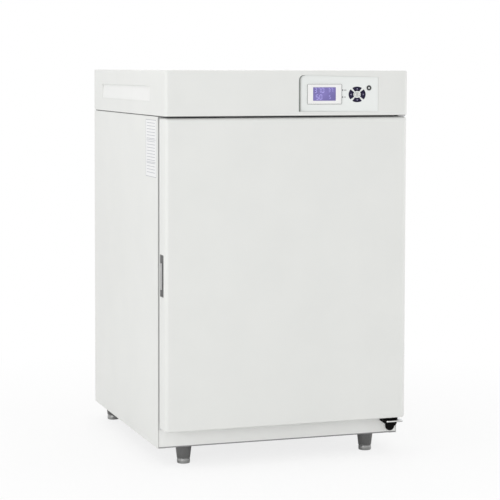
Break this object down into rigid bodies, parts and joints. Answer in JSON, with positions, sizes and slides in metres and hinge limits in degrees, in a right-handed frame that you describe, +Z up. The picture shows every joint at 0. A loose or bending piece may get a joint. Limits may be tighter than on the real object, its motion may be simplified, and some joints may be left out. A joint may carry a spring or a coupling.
{
  "type": "carbon dioxide incubator",
  "caption": "Free-standing laboratory carbon dioxide incubator: insulated cabinet with an outer door, inner glass door, shelves, circulation fan and a control head on top.",
  "frame": {"origin": "on the floor, under the centre of the object's box", "axes": "+Z up, -Y towards the front (the door), +X to the right as seen from the front"},
  "size_m": [0.59, 0.662, 0.905],
  "materials": {
    "casing_paint": "satin powder coat, light grey-white",
    "strip_paint": "satin powder coat, light grey",
    "dark_sheet": "matt black coating",
    "black_metal": "semi-gloss black coating",
    "zinc_sheet": "zinc-coated sheet",
    "stainless": "brushed stainless steel",
    "frame_plastic": "matt moulded plastic",
    "white_plastic": "satin moulded plastic",
    "grey_plastic": "matt moulded plastic",
    "black_plastic": "matt moulded plastic",
    "foam": "rigid foam",
    "overlay_film": "printed film",
    "display": "blue display under a clear cover",
    "key_navy": "satin rubber keys",
    "board_green": "circuit board",
    "clear_lens": "smoked clear plastic",
    "brass": "turned brass",
    "silicone": "translucent silicone",
    "seal_grey": "soft extruded seal",
    "foot_rubber": "moulded rubber",
    "glass": "clear float glass"
  },
  "bodies": {
    "cabinet": {"side_panel_left": "casing_paint", "side_panel_right": "casing_paint", "base_pan": "zinc_sheet", "base_strip": "strip_paint", "rear_panel": "casing_paint", "head_floor": "dark_sheet", "front_frame": "frame_plastic", "glass_gasket": "silicone", "insulation": "foam", "chamber_liner": "stainless", "jacket_heater": "black_metal", "shelf_rack_left": "stainless", "shelf_rack_right": "stainless", "fan_cover": "stainless", "fan_motor": "grey_plastic", "temperature_probe": "stainless", "co2_sensor": "white_plastic", "port_sleeve": "grey_plastic", "gas_inlet_barb": "brass", "gas_tube": "silicone", "solenoid_valve": "brass", "head_shell": "casing_paint", "head_rear_cover": "casing_paint", "control_panel": "overlay_film", "display_bezel": "white_plastic", "display_lcd": "display", "light_pipe": "clear_lens", "control_board": "board_green", "power_supply": "zinc_sheet", "mains_inlet": "black_plastic", "upper_hinge_bracket": "black_metal", "lower_hinge_bracket": "black_metal"},
    "door": {"door_skin": "casing_paint", "door_core": "foam", "door_liner": "white_plastic", "handle_cup": "grey_plastic", "door_bush_lower": "white_plastic", "door_bush_upper": "white_plastic", "door_gasket": "seal_grey"},
    "glass_door": {"glass_pane": "glass", "glass_hinge_upper": "stainless", "glass_hinge_lower": "stainless"},
    "latch": {"latch_lever": "black_plastic"},
    "impeller": {"fan_impeller": "stainless"},
    "lower_shelf": {"shelf_1": "stainless"},
    "middle_shelf": {"shelf_2": "stainless"},
    "upper_shelf": {"shelf_3": "stainless"},
    "tray": {"water_tray": "stainless"},
    "up_key": {"key_up": "key_navy"},
    "down_key": {"key_down": "key_navy"},
    "left_key": {"key_left": "key_navy"},
    "right_key": {"key_right": "key_navy"},
    "centre_key": {"key_centre": "white_plastic"},
    "power_key": {"key_power": "black_plastic"},
    "switch": {"rocker_switch": "black_plastic"},
    "stopper": {"port_stopper": "silicone"},
    "front_left_foot": {"foot_front_left": "foot_rubber"},
    "front_right_foot": {"foot_front_right": "foot_rubber"},
    "rear_left_foot": {"foot_rear_left": "foot_rubber"},
    "rear_right_foot": {"foot_rear_right": "foot_rubber"}
  },
  "joints": [
    {"name": "door_hinge", "type": "hinge", "parent": "cabinet", "child": "door", "pos_m": [0.272, -0.312, 0.44], "axis": [0, 0, 1], "range_deg": [0, 110]},
    {"name": "glass_hinge", "type": "hinge", "parent": "cabinet", "child": "glass_door", "pos_m": [0.222, -0.27, 0.43], "axis": [0, 0, 1], "range_deg": [0, 95]},
    {"name": "latch_turn", "type": "hinge", "parent": "glass_door", "child": "latch", "pos_m": [-0.205, -0.2748, 0.43], "axis": [0, 1, 0], "range_deg": [0, 90]},
    {"name": "fan_spin", "type": "hinge", "parent": "cabinet", "child": "impeller", "pos_m": [0, 0.142, 0.59], "axis": [0, 1, 0], "continuous": true},
    {"name": "shelf_1_slide", "type": "slide", "parent": "cabinet", "child": "lower_shelf", "axis": [0, -1, 0], "range_m": [0, 0.04]},
    {"name": "shelf_2_slide", "type": "slide", "parent": "cabinet", "child": "middle_shelf", "axis": [0, -1, 0], "range_m": [0, 0.04]},
    {"name": "shelf_3_slide", "type": "slide", "parent": "cabinet", "child": "upper_shelf", "axis": [0, -1, 0], "range_m": [0, 0.04]},
    {"name": "water_tray_slide", "type": "slide", "parent": "cabinet", "child": "tray", "axis": [0, -1, 0], "range_m": [0, 0.04]},
    {"name": "key_up_press", "type": "slide", "parent": "cabinet", "child": "up_key", "axis": [0.0291, 0.9996, 0], "range_m": [0, 0.0006], "stiffness_N_per_m": 800},
    {"name": "key_down_press", "type": "slide", "parent": "cabinet", "child": "down_key", "axis": [0.0291, 0.9996, 0], "range_m": [0, 0.0006], "stiffness_N_per_m": 800},
    {"name": "key_left_press", "type": "slide", "parent": "cabinet", "child": "left_key", "axis": [0.0291, 0.9996, 0], "range_m": [0, 0.0006], "stiffness_N_per_m": 800},
    {"name": "key_right_press", "type": "slide", "parent": "cabinet", "child": "right_key", "axis": [0.0291, 0.9996, 0], "range_m": [0, 0.0006], "stiffness_N_per_m": 800},
    {"name": "key_centre_press", "type": "slide", "parent": "cabinet", "child": "centre_key", "axis": [0.0291, 0.9996, 0], "range_m": [0, 0.0006], "stiffness_N_per_m": 800},
    {"name": "key_power_press", "type": "slide", "parent": "cabinet", "child": "power_key", "axis": [0.0291, 0.9996, 0], "range_m": [0, 0.0006], "stiffness_N_per_m": 800},
    {"name": "mains_switch", "type": "hinge", "parent": "cabinet", "child": "switch", "pos_m": [0.187, 0.298, 0.85], "axis": [-1, 0, 0], "range_deg": [0, 14]},
    {"name": "stopper_pull", "type": "slide", "parent": "cabinet", "child": "stopper", "axis": [0, 1, 0], "range_m": [0, 0.055]},
    {"name": "foot_front_left_turn", "type": "hinge", "parent": "cabinet", "child": "front_left_foot", "pos_m": [-0.226, -0.246, 0.02], "axis": [0, 0, 1], "continuous": true},
    {"name": "foot_front_right_turn", "type": "hinge", "parent": "cabinet", "child": "front_right_foot", "pos_m": [0.226, -0.246, 0.02], "axis": [0, 0, 1], "continuous": true},
    {"name": "foot_rear_left_turn", "type": "hinge", "parent": "cabinet", "child": "rear_left_foot", "pos_m": [-0.257, 0.29, 0.02], "axis": [0, 0, 1], "continuous": true},
    {"name": "foot_rear_right_turn", "type": "hinge", "parent": "cabinet", "child": "rear_right_foot", "pos_m": [0.257, 0.29, 0.02], "axis": [0, 0, 1], "continuous": true}
  ],
  "couplings": [
    {"joint": "glass_hinge", "follows": "door_hinge", "ratio": 0.86}
  ]
}
